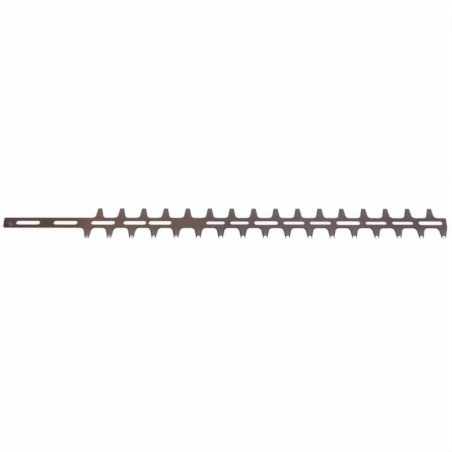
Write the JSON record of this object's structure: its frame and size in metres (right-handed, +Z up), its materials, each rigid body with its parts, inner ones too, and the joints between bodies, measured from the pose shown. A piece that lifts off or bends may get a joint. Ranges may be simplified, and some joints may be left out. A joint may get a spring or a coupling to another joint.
{
  "type": "hedge trimmer blade",
  "caption": "Flat toothed steel blade of a hedge trimmer, with bevel-ground teeth staggered along both edges and long guide slots down its middle.",
  "frame": {"origin": "centre of the blade's length and width, on the flat sliding face", "axes": "+X from the rear (driven) end to the front end, +Y to the far row of teeth, +Z up from the sliding face to the ground face"},
  "size_m": [0.7, 0.0538, 0.0025],
  "materials": {
    "blade_steel": "brown tempered steel strip with bright ground bevels"
  },
  "bodies": {
    "root": {"blade": "blade_steel"}
  },
  "joints": []
}
